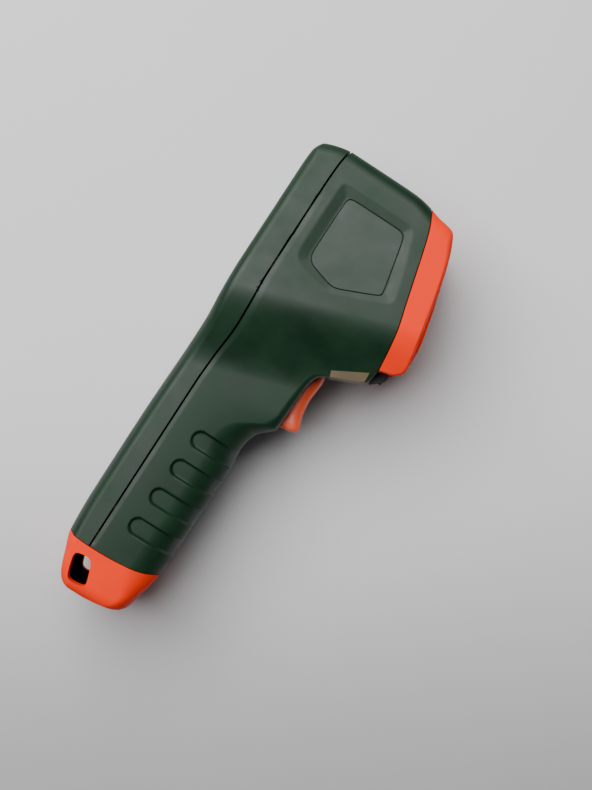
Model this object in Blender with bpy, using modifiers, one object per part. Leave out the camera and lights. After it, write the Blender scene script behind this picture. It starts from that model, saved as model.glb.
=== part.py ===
"""Imaging infrared thermometer: pistol grip, two-shell housing, front optics, trigger, display and keys.

Lying on its left side. X runs from the display to the lens, Y from the end cap to the head top, Z is the
width. Sizes below are millimetres in the object's own frame; MM turns them into metres.
"""

import math

import bmesh
import bpy
import numpy as np
from mathutils import Matrix, Vector

MM = 0.001
TOP_Y = 210.3
FOOT_Y = 0.6
MID_X = 40.4
MID_Y = (TOP_Y + FOOT_Y) / 2
HEAD_HALF = 32.0
GAP = 0.3
WALL = 2.4

# Housing outline, as stations along Y (first number) with the X of that edge.
REAR_LINE = ((0.6, 13.5), (1.3, 10.6), (3.5, 8.3), (13.0, 4.2), (21.0, 1.5), (40.0, 0.5), (75.0, 0.3),
             (110.0, 0.9), (124.0, 1.3), (135.0, 0.8), (150.0, 0.3), (195.0, 0.3), (201.5, 0.6),
             (206.6, 2.6), (208.3, 7.0), (209.8, 14.0), (210.3, 18.0))
FRONT_LINE = ((0.6, 26.0), (2.8, 36.0), (5.0, 38.3), (12.0, 40.0), (24.5, 42.3), (50.0, 42.6),
              (77.0, 42.8), (85.0, 41.8), (93.5, 43.5), (97.5, 47.0), (101.0, 50.0), (118.0, 50.3),
              (123.0, 50.7), (127.0, 51.9), (129.2, 54.5), (131.0, 58.3), (137.0, 70.0), (143.0, 71.5),
              (145.0, 77.5), (148.0, 80.2), (152.0, 80.5),
              (157.0, 80.2), (170.0, 77.5), (183.0, 74.0), (194.0, 70.8), (203.0, 67.0),
              (205.6, 65.0), (207.0, 58.0), (208.5, 53.0), (210.3, 40.0))
TOP_LINE = ((0.0, 203.0), (3.0, 206.8), (14.0, 210.0), (46.0, 209.8), (58.0, 207.0), (65.0, 205.6),
            (69.0, 199.0), (80.5, 152.0))
BOTTOM_LINE = ((2.0, 21.0), (5.0, 13.0), (9.0, 3.5), (14.0, 0.6), (30.0, 1.0), (36.0, 2.8), (40.0, 12.0))

# Joint lines between the coloured shells, as (X, Y) points.
SEAM_LINE = ((12.3, 18.0), (12.1, 60.0), (12.0, 100.0), (12.5, 112.0), (13.8, 128.0), (13.6, 137.0),
             (12.8, 152.0), (12.7, 190.0), (13.0, 202.0), (13.6, 207.0), (14.8, 212.0))
BEZEL_LINE = ((75.0, 128.0), (71.0, 143.0), (70.0, 150.0), (68.3, 160.0), (65.6, 170.0), (60.2, 190.0),
              (57.2, 200.0), (53.5, 208.5), (52.0, 213.0))
CAP_LINE = ((-4.0, 22.0), (5.0, 20.5), (20.0, 20.5), (30.0, 21.3), (42.3, 24.6), (52.0, 27.5))

# Handle and neck widths.
HANDLE_HALF = 21.8
HANDLE_LOW_HALF = 21.0
REAR_FALL = 0.015
REAR_FALL_HEAD = 0.02
REAR_CREST_X = 13.0
NECK_SLANT = 0.34
SIDE_SLOPE = 0.04
SIDE_BEND = 0.0025
SIDE_BEND_END = 48.0
NECK_TOP = 144.5
NECK_RUN = 37.0
EDGE_ROUND = 6.0
EDGE_DROP = 4.5
CORNER_SHARE = 0.85

# Front face: lower corner, direction up the face and outward normal, both in the XY plane.
FACE_X = 80.2
FACE_Y = 157.0
FACE_ANGLE = math.radians(17.4)
FACE_UP = (-math.sin(FACE_ANGLE), math.cos(FACE_ANGLE))
FACE_OUT = (math.cos(FACE_ANGLE), math.sin(FACE_ANGLE))

TRIGGER_PIVOT = (50.5, 133.0)
DOOR_AXIS = (45.2, 208.3)
SHUTTER_REST = 8.0

# Optics on the front face, as (up the face, across it).
LENS_AT = (9.5, 0.0)
CAMERA_AT = (23.5, 0.0)
LASER_AT = (37.0, 11.0)
LAMP_AT = (37.0, -11.0)

PARTS = "infrared_thermometer"
CUTTERS = "infrared_thermometer_cutters"

LOOKS = {
    "green": ((0.095, 0.13, 0.10, 1), 0.55, 0.0),
    "orange": ((0.80, 0.11, 0.03, 1), 0.40, 0.0),
    "black": ((0.02, 0.02, 0.022, 1), 0.45, 0.0),
    "rubber": ((0.03, 0.03, 0.032, 1), 0.8, 0.0),
    "clear": ((0.03, 0.035, 0.04, 1), 0.08, 0.0),
    "lens": ((0.05, 0.03, 0.08, 1), 0.1, 0.0),
    "steel": ((0.55, 0.55, 0.56, 1), 0.3, 1.0),
    "brass": ((0.7, 0.55, 0.25, 1), 0.3, 1.0),
    "board": ((0.02, 0.16, 0.07, 1), 0.45, 0.0),
    "alloy": ((0.7, 0.7, 0.72, 1), 0.35, 1.0),
    "cell": ((0.06, 0.12, 0.35, 1), 0.4, 0.0),
    "plate": ((0.12, 0.15, 0.12, 1), 0.5, 0.0),
    "label": ((0.22, 0.17, 0.11, 1), 0.6, 0.0),
}


def clear_scene():
    for obj in list(bpy.data.objects):
        bpy.data.objects.remove(obj)
    for name in (PARTS, CUTTERS):
        collection = bpy.data.collections.new(name)
        bpy.context.scene.collection.children.link(collection)


def material(look):
    if look in bpy.data.materials:
        return bpy.data.materials[look]
    colour, rough, metal = LOOKS[look]
    made = bpy.data.materials.new(look)
    made.use_nodes = True
    shader = made.node_tree.nodes["Principled BSDF"]
    shader.inputs["Base Color"].default_value = colour
    shader.inputs["Roughness"].default_value = rough
    shader.inputs["Metallic"].default_value = metal
    made.diffuse_color = colour
    return made


def world(x, y, z):
    """A point of the object's own millimetre frame (Z from the mid-plane) in metres."""
    return Vector(((x - MID_X) * MM, (y - MID_Y) * MM, (z + HEAD_HALF) * MM))


def face_point(up, out, z=0.0):
    """A point given along the front face: up the face, out of it, and across it."""
    x = FACE_X + up * FACE_UP[0] + out * FACE_OUT[0]
    y = FACE_Y + up * FACE_UP[1] + out * FACE_OUT[1]
    return (x, y, z)


def smooth_line(stations, at):
    """Value of a line of stations at a position, by a cubic that never overshoots a station."""
    keys = np.array([s[0] for s in stations], dtype=float)
    vals = np.array([s[1] for s in stations], dtype=float)
    slopes = np.diff(vals) / np.diff(keys)
    ends = np.concatenate(([slopes[0]], slopes, [slopes[-1]]))
    before = ends[:-1]
    after = ends[1:]
    same = before * after > 0
    total = np.where(same, before + after, 1.0)
    tangent = np.where(same, 2 * before * after / total, 0.0)
    at = min(max(at, keys[0]), keys[-1])
    k = min(int(np.searchsorted(keys, at, side="right")) - 1, len(keys) - 2)
    span = keys[k + 1] - keys[k]
    t = (at - keys[k]) / span
    rise = vals[k] * (1 + 2 * t) * (1 - t) ** 2 + vals[k + 1] * t * t * (3 - 2 * t)
    bend = tangent[k] * t * (1 - t) ** 2 - tangent[k + 1] * t * t * (1 - t)
    return float(rise + span * bend)


def edge_drop(depth):
    """How much narrower the body is at this depth below a rounded top or bottom edge."""
    if depth >= EDGE_ROUND:
        return 0.0
    part = 1 - max(depth, 0.0) / EDGE_ROUND
    return EDGE_DROP * (1 - math.sqrt(1 - part * part))


def neck_share(y):
    """How far the handle has opened out into the neck: 0 on the grip, 1 above it."""
    return min(max((y - 91.0) / 12.0, 0.0), 1.0)


def half_width(x, y):
    """Half the body's width at a point of its side."""
    low = min(max(y / 120.0, 0.0), 1.0)
    handle = HANDLE_LOW_HALF + (HANDLE_HALF - HANDLE_LOW_HALF) * low
    past = min(max(x, REAR_CREST_X), SIDE_BEND_END) - REAR_CREST_X
    neck = neck_share(y)
    handle -= SIDE_SLOPE * (1 + 0.6 * neck) * past + SIDE_BEND * (1 - neck) * past ** 2
    slant = y - NECK_SLANT * (x - 15.0)
    t = min(max((slant - NECK_TOP + NECK_RUN) / NECK_RUN, 0.0), 1.0)
    rise = t * t * (3 - 2 * t)
    wide = handle + (HEAD_HALF - handle) * rise
    wide -= (REAR_FALL + (REAR_FALL_HEAD - REAR_FALL) * rise) * max(REAR_CREST_X - x, 0.0)
    wide -= edge_drop(smooth_line(TOP_LINE, x) - y)
    wide -= edge_drop(y - smooth_line(BOTTOM_LINE, x))
    return wide


def corner_radii(y):
    """Rear and front corner radii (along X, across Z) of the section at this height."""
    head = min(max((y - 104.0) / 42.0, 0.0), 1.0)
    neck = neck_share(y)
    tip = min(max((TOP_Y - y) / 12.0, 0.25), 1.0)
    foot = min(max(y / 20.0, 0.3), 1.0)
    rear = ((5.0 - 1.0 * head) * tip * foot, 9.0 - 4.0 * head)
    front = ((12.0 - 8.5 * neck - 2.3 * head) * tip * max(foot, 0.5), 9.0 - 5.0 * neck - 2.7 * head)
    return rear, front


def inset_edge(stations, y, inset, side):
    """X of the outline moved inward by a wall, measured square to the outline."""
    if inset == 0:
        return smooth_line(stations, y)
    found = []
    for k in range(-4, 5):
        shift = inset * math.sin(math.radians(90) * k / 4)
        reach = math.sqrt(max(inset * inset - shift * shift, 0.0))
        found.append(side * smooth_line(stations, y + shift) - reach)
    return side * min(found)


def section(y, inset, corner_steps, side_steps):
    """One closed section of the body at height y, as (x, z) points running round it."""
    rear_x = inset_edge(REAR_LINE, y, inset, -1)
    front_x = inset_edge(FRONT_LINE, y, inset, 1)
    (rear_r, rear_h), (front_r, front_h) = corner_radii(y)
    rear_r = max(rear_r - inset, 0.8)
    front_r = max(front_r - inset, 0.8)
    rear_h = max(rear_h - inset, 0.8)
    front_h = max(front_h - inset, 0.8)
    rear_w = half_width(rear_x + rear_r, y) - inset
    front_w = half_width(front_x - front_r, y) - inset
    rear_h = min(rear_h, CORNER_SHARE * rear_w)
    front_h = min(front_h, CORNER_SHARE * front_w)
    half = [(rear_x, 0.0)]
    for k in range(corner_steps + 1):
        a = math.radians(90) * k / corner_steps
        half.append((rear_x + rear_r * (1 - math.cos(a)), rear_w - rear_h * (1 - math.sin(a))))
    start = rear_x + rear_r
    run = front_x - front_r - start
    for k in range(1, side_steps):
        x = start + run * k / side_steps
        half.append((x, half_width(x, y) - inset))
    for k in range(corner_steps + 1):
        a = math.radians(90) * k / corner_steps
        x = front_x - front_r * (1 - math.sin(a))
        half.append((x, half_width(x, y) - inset - front_h * (1 - math.cos(a))))
    half.append((front_x, 0.0))
    return half + [(x, -z) for x, z in reversed(half[1:-1])]


def place(obj, collection, look):
    bpy.data.collections[collection].objects.link(obj)
    obj.data.materials.clear()
    obj.data.materials.append(material(look))
    if collection == CUTTERS:
        obj.hide_render = True
        obj.display_type = "WIRE"
    return obj


def mesh_object(name, points, faces, look, collection=PARTS):
    """A mesh from millimetre points of the object's frame, with its faces turned outward."""
    mesh = bpy.data.meshes.new(name)
    mesh.from_pydata([world(*p) for p in points], [], faces)
    shaped = bmesh.new()
    shaped.from_mesh(mesh)
    bmesh.ops.recalc_face_normals(shaped, faces=shaped.faces)
    shaped.to_mesh(mesh)
    shaped.free()
    return place(bpy.data.objects.new(name, mesh), collection, look)


def body_form(name, heights, inset, corner_steps, side_steps):
    """The housing's outer or inner form: a loft through its sections, closed at both ends."""
    rings = [section(y, inset, corner_steps, side_steps) for y in heights]
    count = len(rings[0])
    points = [(x, y, z) for y, ring in zip(heights, rings) for x, z in ring]
    faces = [tuple(range(count)), tuple(range((len(rings) - 1) * count, len(rings) * count))]
    for r in range(len(rings) - 1):
        for k in range(count):
            after = (k + 1) % count
            faces.append((r * count + k, r * count + after, (r + 1) * count + after, (r + 1) * count + k))
    return mesh_object(name, points, faces, "green", CUTTERS)


def outline_solid(name, points, low, high, look, collection=PARTS, holes=()):
    """A flat outline in the XY plane with thickness from low to high along Z, and holes through it."""
    curve = bpy.data.curves.new(name, "CURVE")
    curve.dimensions = "2D"
    curve.fill_mode = "BOTH"
    curve.extrude = (high - low) / 2 * MM
    for loop in (points, *holes):
        spline = curve.splines.new("POLY")
        spline.points.add(len(loop) - 1)
        for point, (x, y) in zip(spline.points, loop):
            at = world(x, y, 0)
            point.co = (at.x, at.y, 0, 1)
        spline.use_cyclic_u = True
    source = bpy.data.objects.new(name + "_outline", curve)
    bpy.context.scene.collection.objects.link(source)
    mesh = bpy.data.meshes.new_from_object(source.evaluated_get(bpy.context.evaluated_depsgraph_get()))
    bpy.data.objects.remove(source)
    mesh.name = name
    mesh.transform(Matrix.Translation((0, 0, ((low + high) / 2 + HEAD_HALF) * MM)))
    shaped = bmesh.new()
    shaped.from_mesh(mesh)
    bmesh.ops.remove_doubles(shaped, verts=shaped.verts, dist=1e-6)
    bmesh.ops.recalc_face_normals(shaped, faces=shaped.faces)
    shaped.to_mesh(mesh)
    shaped.free()
    return place(bpy.data.objects.new(name, mesh), collection, look)


def block(name, centre, size, look, turn=0.0, collection=PARTS, edge=0.0):
    """A box with its size along X, Y and Z, turned about Z, with rounded edges if asked."""
    shaped = bmesh.new()
    bmesh.ops.create_cube(shaped, size=1.0)
    bmesh.ops.scale(shaped, vec=Vector(size) * MM, verts=shaped.verts)
    if edge:
        edges = shaped.edges[:]
        bmesh.ops.bevel(shaped, geom=edges, offset=edge * MM, segments=2, affect="EDGES", profile=0.5)
    put = Matrix.Translation(world(*centre)) @ Matrix.Rotation(turn, 4, "Z")
    bmesh.ops.transform(shaped, matrix=put, verts=shaped.verts)
    mesh = bpy.data.meshes.new(name)
    shaped.to_mesh(mesh)
    shaped.free()
    return place(bpy.data.objects.new(name, mesh), collection, look)


def turned(name, start, direction, profile, look, steps=24, collection=PARTS):
    """A turned piece: profile points are (along the axis, radius), from its start point in a direction."""
    outline = bpy.data.meshes.new(name + "_profile")
    points = [(radius * MM, 0, along * MM) for along, radius in profile]
    edges = [(k, k + 1) for k in range(len(points) - 1)]
    if profile[0][1] > 0:
        edges.append((len(points) - 1, 0))
    outline.from_pydata(points, edges, [])
    source = bpy.data.objects.new(name + "_profile", outline)
    bpy.context.scene.collection.objects.link(source)
    screw = source.modifiers.new("turn", "SCREW")
    screw.steps = steps
    screw.render_steps = steps
    screw.use_merge_vertices = True
    screw.merge_threshold = 1e-6
    mesh = bpy.data.meshes.new_from_object(source.evaluated_get(bpy.context.evaluated_depsgraph_get()))
    bpy.data.objects.remove(source)
    mesh.name = name
    aim = Vector(direction).to_track_quat("Z", "Y").to_matrix().to_4x4()
    mesh.transform(Matrix.Translation(world(*start)) @ aim)
    shaped = bmesh.new()
    shaped.from_mesh(mesh)
    bmesh.ops.remove_doubles(shaped, verts=shaped.verts, dist=1e-6)
    bmesh.ops.recalc_face_normals(shaped, faces=shaped.faces)
    shaped.to_mesh(mesh)
    shaped.free()
    obj = place(bpy.data.objects.new(name, mesh), collection, look)
    mesh.shade_smooth()
    mesh.set_sharp_from_angle(angle=math.radians(35))
    return obj


def rod(name, start, direction, radius, length, look, steps=24, collection=PARTS):
    profile = ((0, 0), (0, radius), (length, radius), (length, 0))
    return turned(name, start, direction, profile, look, steps, collection)


def combine(target, tools, operation="DIFFERENCE"):
    """Applies each tool to the target with an exact Boolean and removes the tool."""
    for tool in tools:
        modifier = target.modifiers.new(tool.name, "BOOLEAN")
        modifier.operation = operation
        modifier.solver = "EXACT"
        modifier.object = tool
        graph = bpy.context.evaluated_depsgraph_get()
        made = bpy.data.meshes.new_from_object(target.evaluated_get(graph))
        target.modifiers.clear()
        old = target.data
        target.data = made
        bpy.data.meshes.remove(old)
        bpy.data.objects.remove(tool)
    return target


def copy_of(source, name, look, collection=PARTS):
    made = bpy.data.objects.new(name, source.data.copy())
    return place(made, collection, look)


def origin_at(obj, point):
    """Moves a piece's origin onto its joint axis."""
    at = world(*point)
    obj.data.transform(Matrix.Translation(-at))
    obj.location = at
    return obj


def joint_side(name, line, shift_x, shift_y, far):
    """A tool that fills one side of a joint line, out to two far corners."""
    points = [(x + shift_x, y + shift_y) for x, y in line] + list(far)
    return outline_solid(name, points, -45, 45, "green", CUTTERS)


# Body heights: close together where the outline turns quickly.
OUTER_HEIGHTS = (0.6, 1.3, 2.8, 5.0, 8.5, 13.0, 18.0, 24.0, 33.0, 44.0, 56.0, 68.0, 78.0, 85.0, 90.0, 94.0,
                 97.5, 101.0, 106.0, 112.0, 118.0, 122.0, 125.5, 129.0, 132.0, 135.0, 138.0, 141.0, 143.0,
                 144.2, 145.2, 148.0, 152.0, 157.0, 164.0, 172.0, 180.0, 188.0, 196.0, 201.0, 204.0, 206.0,
                 207.5, 208.8, 209.8)
INNER_HEIGHTS = (17.0, 24.0, 44.0, 68.0, 85.0, 94.0, 99.0, 104.0, 116.0, 123.0, 128.0, 132.0, 136.0, 140.0,
                 144.0, 147.5, 151.0, 157.0, 172.0, 188.0, 200.0, 204.5, 207.0)
SCREW_Y = 38.5
SCREW_Z = 15.5
HEAD_SCREW_Y = 142.5
HEAD_SCREW_Z = 24.3
CAP_SCREW_X = 28.0
CAP_SCREW_Z = 12.5
SEAT_END = 5.9
PLUG_END = {"low": 4.0, "head": 2.7}
FAR = 260.0


def cavity(name):
    """The hollow inside the housing, less the screw bosses, trigger cheeks and port well that stand in it."""
    hollow = body_form(name, INNER_HEIGHTS, WALL, 4, 4)
    stand = []
    for side in (-1, 1):
        stand.append(block("boss", (6, SCREW_Y, side * 20.0), (38, 6.4, 15.6), "green", 0, CUTTERS))
        stand.append(block("boss", (6, HEAD_SCREW_Y, side * 27.5), (38, 6.0, 12.0), "green", 0, CUTTERS))
        stand.append(block("boss", (CAP_SCREW_X, 29.5, side * 18.3), (7, 9.6, 17.2), "green", 0, CUTTERS))
        stand.append(block("cheek", (50.5, 133.2, side * 11.7), (8.4, 9.4, 4.6), "green", 0, CUTTERS))
    stand.append(block("well", (31.3, 204.0, 0), (34.6, 14.4, 31), "green", 0, CUTTERS))
    return combine(hollow, stand)


def grip_grooves():
    """Four grooves across each side of the grip, with rounded rear ends."""
    tools = []
    for low, start in ((77.2, 22.5), (63.0, 22.0), (48.6, 21.3), (33.9, 20.5)):
        for side in (-1, 1):
            middle = low + 3.4
            arc = [(start + 3.4 - 3.4 * math.cos(math.radians(a)), middle + 3.4 * math.sin(math.radians(a)))
                   for a in range(-90, 91, 30)]
            outline = [(39.8, low), *arc, (39.8, low + 6.8)]
            face = half_width(30.0, middle)
            ends = sorted((side * (face - 1.2), side * 40))
            tools.append(outline_solid("groove", outline, ends[0], ends[1], "green", CUTTERS))
    return tools


PLATE = ((25.0, 193.8), (23.4, 192.2), (23.4, 169.4), (24.2, 165.6), (26.4, 163.6), (36.4, 160.6),
         (39.4, 160.8), (54.2, 167.4), (55.3, 169.6), (53.2, 179.6), (50.4, 191.6), (48.4, 193.8))
TRIGGER_MOUTH = ((40, 101.5), (64, 101.5), (64, 124), (55.8, 129.0), (54.6, 131), (54.2, 134.4),
                 (52.6, 136.6), (48.3, 136.6), (46.4, 135), (40, 134))
SLOT = ((8.6, 15.2), (10.5, 16.2), (15.3, 16.2), (16.5, 14.8), (20.0, 6.4), (19.0, 4.8), (12.6, 4.4),
        (11.4, 5.6))


def grown(outline, by):
    """An outline with every point moved away from its middle by about this much."""
    cx = sum(p[0] for p in outline) / len(outline)
    cy = sum(p[1] for p in outline) / len(outline)
    moved = []
    for x, y in outline:
        reach = math.hypot(x - cx, y - cy)
        moved.append((x + (x - cx) / reach * by, y + (y - cy) / reach * by))
    return moved


def face_block(name, up, out, across, size, look, collection=PARTS, edge=0.0):
    """A box set square to the front face; size runs out of the face, up it and across it."""
    return block(name, face_point(up, out, across), size, look, FACE_ANGLE, collection, edge)


def shells():
    """The four shells that the body form is divided into."""
    g = GAP / 2
    outer = body_form("outer_form", OUTER_HEIGHTS, 0.0, 5, 5)
    inner = cavity("inner_form")

    def left(shift):
        return joint_side("left", SEAM_LINE, shift, 0, ((-30, FAR), (-30, -20)))

    def lower(shift):
        return joint_side("low", CAP_LINE, 0, shift, ((120, 27.5), (120, -30), (-60, -30), (-60, 22)))

    def forward(shift):
        return joint_side("fore", BEZEL_LINE, shift, 0, ((120, FAR), (120, 128)))

    rear = copy_of(outer, "rear_shell", "green")
    combine(rear, [left(-g)], "INTERSECT")
    combine(rear, [lower(g), copy_of(inner, "hollow", "green", CUTTERS)])
    front = copy_of(outer, "front_housing", "green")
    combine(front, [left(g), lower(g), forward(-g), copy_of(inner, "hollow", "green", CUTTERS)])
    bezel = copy_of(outer, "front_bezel", "orange")
    combine(bezel, [forward(g)], "INTERSECT")
    combine(bezel, [copy_of(inner, "hollow", "green", CUTTERS)])
    cap = copy_of(outer, "end_cap", "orange")
    combine(cap, [lower(-g)], "INTERSECT")
    combine(cap, [copy_of(inner, "hollow", "green", CUTTERS)])
    for word, y, z in (("low", SCREW_Y, SCREW_Z), ("head", HEAD_SCREW_Y, HEAD_SCREW_Z)):
        for hand, side in (("right", 1), ("left", -1)):
            plug = copy_of(outer, f"screw_plug_{word}_{hand}", "green")
            end = PLUG_END[word]
            reach = rod("reach", (-5, y, side * z), (1, 0, 0), 2.45, 5 + end, "green", 20, CUTTERS)
            combine(plug, [reach], "INTERSECT")
    bpy.data.objects.remove(outer)
    bpy.data.objects.remove(inner)
    return rear, front, bezel, cap


# Keys on the rear face: name, Y, Z, then width across and height.
KEYS = (
    ("key_menu", 126.0, 0.0, 12.0, 9.6),
    ("key_up", 138.2, 0.0, 12.0, 7.4),
    ("key_down", 113.8, 0.0, 12.0, 7.4),
    ("key_left", 126.0, -11.9, 6.4, 11.0),
    ("key_right", 126.0, 11.9, 6.4, 11.0),
    ("key_power", 102.0, 0.0, 11.0, 8.0),
)


def cut_rear_shell(rear):
    tools = [
        block("window_seat", (-0.9, 172.5, 0), (5.0, 53.6, 50.6), "green", 0, CUTTERS),
        block("window_hole", (2.0, 172.5, 0), (8.0, 49.0, 45.0), "green", 0, CUTTERS),
    ]
    for _name, y, z, wide, high in KEYS:
        tools.append(block("key_hole", (2.0, y, z), (8.0, high + 0.7, wide + 0.7), "green", 0, CUTTERS))
    for y, z in ((SCREW_Y, SCREW_Z), (HEAD_SCREW_Y, HEAD_SCREW_Z)):
        for side in (-1, 1):
            tools.append(rod("screw_hole", (-3, y, side * z), (1, 0, 0), 1.6, 30, "green", 16, CUTTERS))
            seat = rod("screw_seat", (-3, y, side * z), (1, 0, 0), 2.75, 3.0 + SEAT_END, "green", 20, CUTTERS)
            tools.append(seat)
    combine(rear, tools)


def cut_front_housing(front):
    tools = grip_grooves()
    for side in (-1, 1):
        pocket = sorted((side * 31.0, side * 40.0))
        around = grown(PLATE, 0.35)
        tools.append(outline_solid("plate_pocket", around, pocket[0], pocket[1], "green", CUTTERS))
        pin_end = (*TRIGGER_PIVOT, side * 8.5)
        tools.append(rod("pin_bore", pin_end, (0, 0, side), 1.15, 5.0, "green", 16, CUTTERS))
        cap_screw = (CAP_SCREW_X, 20, side * CAP_SCREW_Z)
        tools.append(rod("cap_bore", cap_screw, (0, 1, 0), 1.5, 12.6, "green", 16, CUTTERS))
        hinge_end = (*DOOR_AXIS, side * 12.5)
        tools.append(rod("hinge_bore", hinge_end, (0, 0, side), 1.15, 3.4, "green", 16, CUTTERS))
        for y, z in ((SCREW_Y, SCREW_Z), (HEAD_SCREW_Y, HEAD_SCREW_Z)):
            bore = rod("screw_bore", (8, y, side * z), (1, 0, 0), 1.5, 15.2, "green", 16, CUTTERS)
            tools.append(bore)
    tools.append(outline_solid("mouth", TRIGGER_MOUTH, -9.3, 9.3, "green", CUTTERS))
    tools.append(block("door_seat", (31.6, 210.2, 0), (31.4, 4.0, 26.6), "green", 0, CUTTERS))
    tools.append(block("knuckle_seat", (45.6, 208.4, 0), (5.6, 4.8, 26.6), "green", 0, CUTTERS))
    tools.append(block("port_room", (31.0, 206.0, 0), (25.0, 12.0, 22.0), "green", 0, CUTTERS))
    tools.append(block("usb_hole", (25.0, 198.0, 0), (4.2, 8.0, 10.4), "green", 0, CUTTERS))
    tools.append(block("card_hole", (36.0, 198.0, 0), (3.2, 8.0, 15.4), "green", 0, CUTTERS))
    tools.append(underside_label_block("label_seat", 1.3, 0.8, CUTTERS))
    tools.append(shutter_slot())
    combine(front, tools)


def underside_label_block(name, thick, slack, collection):
    """The blank label's plate, lying in the sloping underside of the head."""
    turn = math.atan2(8.0, 14.0)
    out = (math.sin(turn), -math.cos(turn))
    middle = (63.0 - out[0] * 0.1, 133.0 - out[1] * 0.1, 0.0)
    return block(name, middle, (9.6 + slack, thick, 24.0 + slack), "label", turn, collection)


def shutter_slot():
    return face_block("shutter_slot", -10.0, -9.9, SHUTTER_REST / 2, (8.4, 14.0, 20.0), "green", CUTTERS)


def cut_bezel(bezel):
    opening = face_block("opening", 24.0, 0, 0, (9.0, 41.6, 41.2), "orange", CUTTERS, 4.0)
    combine(bezel, [opening, shutter_slot()])


def cut_cap(cap):
    tools = [outline_solid("lanyard_slot", SLOT, -45, 45, "orange", CUTTERS)]
    tools.append(rod("insert_bore", (31.0, -3.0, 0), (0, 1, 0), 5.3, 14.3, "orange", 24, CUTTERS))
    for side in (-1, 1):
        at = side * CAP_SCREW_Z
        tools.append(rod("cap_screw_hole", (CAP_SCREW_X, -2, at), (0, 1, 0), 1.6, 22, "orange", 16, CUTTERS))
        tools.append(rod("cap_screw_seat", (CAP_SCREW_X, -2, at), (0, 1, 0), 2.7, 7.4, "orange", 16, CUTTERS))
    combine(cap, tools)


def trims():
    for name, side in (("side_plate_right", 1), ("side_plate_left", -1)):
        faces = sorted((side * 31.3, side * 31.8))
        outline_solid(name, PLATE, faces[0], faces[1], "plate")
    underside_label_block("underside_label", 0.5, 0.0, PARTS)


def front_optics():
    """The black panel behind the bezel and everything that looks out through it."""
    panel = face_block("front_panel", 24.0, -3.6, 0, (1.6, 45.0, 46.0), "black", PARTS)
    holes = []
    for (up, across), radius in ((LENS_AT, 7.4), (CAMERA_AT, 3.5), (LASER_AT, 2.5), (LAMP_AT, 4.3)):
        start = face_point(up, -6.0, across)
        holes.append(rod("hole", start, (*FACE_OUT, 0), radius, 6.0, "black", 24, CUTTERS))
    combine(panel, holes)
    out = (*FACE_OUT, 0)
    turned("lens_hood", face_point(LENS_AT[0], -9.2, LENS_AT[1]), out,
           ((0, 3.6), (0, 5.0), (4.4, 7.0), (6.2, 7.0), (6.2, 6.2), (5.6, 6.2)), "black", 32)
    turned("lens_barrel", face_point(LENS_AT[0], -17.0, LENS_AT[1]), out,
           ((0, 0), (0, 5.6), (5.4, 5.6), (5.4, 3.4), (2.0, 3.4), (2.0, 0)), "alloy")
    turned("ir_lens", face_point(LENS_AT[0], -13.8, LENS_AT[1]), out,
           ((0, 0), (0, 3.1), (1.2, 3.1), (1.7, 2.2), (2.0, 0)), "lens")
    face_block("thermal_core", LENS_AT[0], -21.5, 0, (8.0, 16.0, 16.0), "alloy", PARTS)
    turned("camera_lens", face_point(CAMERA_AT[0], -4.4, CAMERA_AT[1]), out,
           ((0, 0), (0, 3.2), (1.5, 3.2), (1.9, 2.0), (2.0, 0)), "clear")
    face_block("camera_module", CAMERA_AT[0], -8.3, 0, (7.0, 10.0, 10.0), "black", PARTS, 0.4)
    rod("laser_window", face_point(LASER_AT[0], -4.4, LASER_AT[1]), out, 2.2, 1.4, "clear")
    turned("laser_module", face_point(LASER_AT[0], -20.0, LASER_AT[1]), out,
           ((0, 0), (0, 3.0), (13.0, 3.0), (13.6, 2.6), (15.3, 2.6), (15.3, 0)), "brass")
    turned("lamp_lens", face_point(LAMP_AT[0], -4.4, LAMP_AT[1]), out,
           ((0, 0), (0, 4.0), (1.3, 4.0), (2.0, 2.6), (2.2, 0)), "clear")
    lamp = face_block("lamp_board", LAMP_AT[0], -7.2, LAMP_AT[1], (1.2, 12.0, 12.0), "board", PARTS)
    emitter = face_block("emitter", LAMP_AT[0], -6.4, LAMP_AT[1], (1.6, 3.4, 3.4), "board", CUTTERS)
    combine(lamp, [emitter], "UNION")
    carrier = face_block("optics_carrier", 31.0, -13.4, 0, (1.8, 28.0, 42.0), "alloy", PARTS)
    hole = rod("hole", face_point(LASER_AT[0], -18.0, LASER_AT[1]), out, 3.4, 9.0, "black", 24, CUTTERS)
    combine(carrier, [hole])


def lens_shutter():
    """A small blade behind the hood, with a pull that stands out below the bezel; it slides across."""
    blade = face_block("lens_shutter", -1.0, -10.1, SHUTTER_REST, (0.8, 29.0, 7.6), "black")
    tab = outline_solid("tab", ((71.4, 143.6), (76.4, 147.2), (76.2, 141.2), (71.4, 136.4)),
                        SHUTTER_REST - 4.8, SHUTTER_REST + 4.8, "black", CUTTERS)
    combine(blade, [tab], "UNION")
    origin_at(blade, (73.9, 141.8, SHUTTER_REST))


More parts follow.
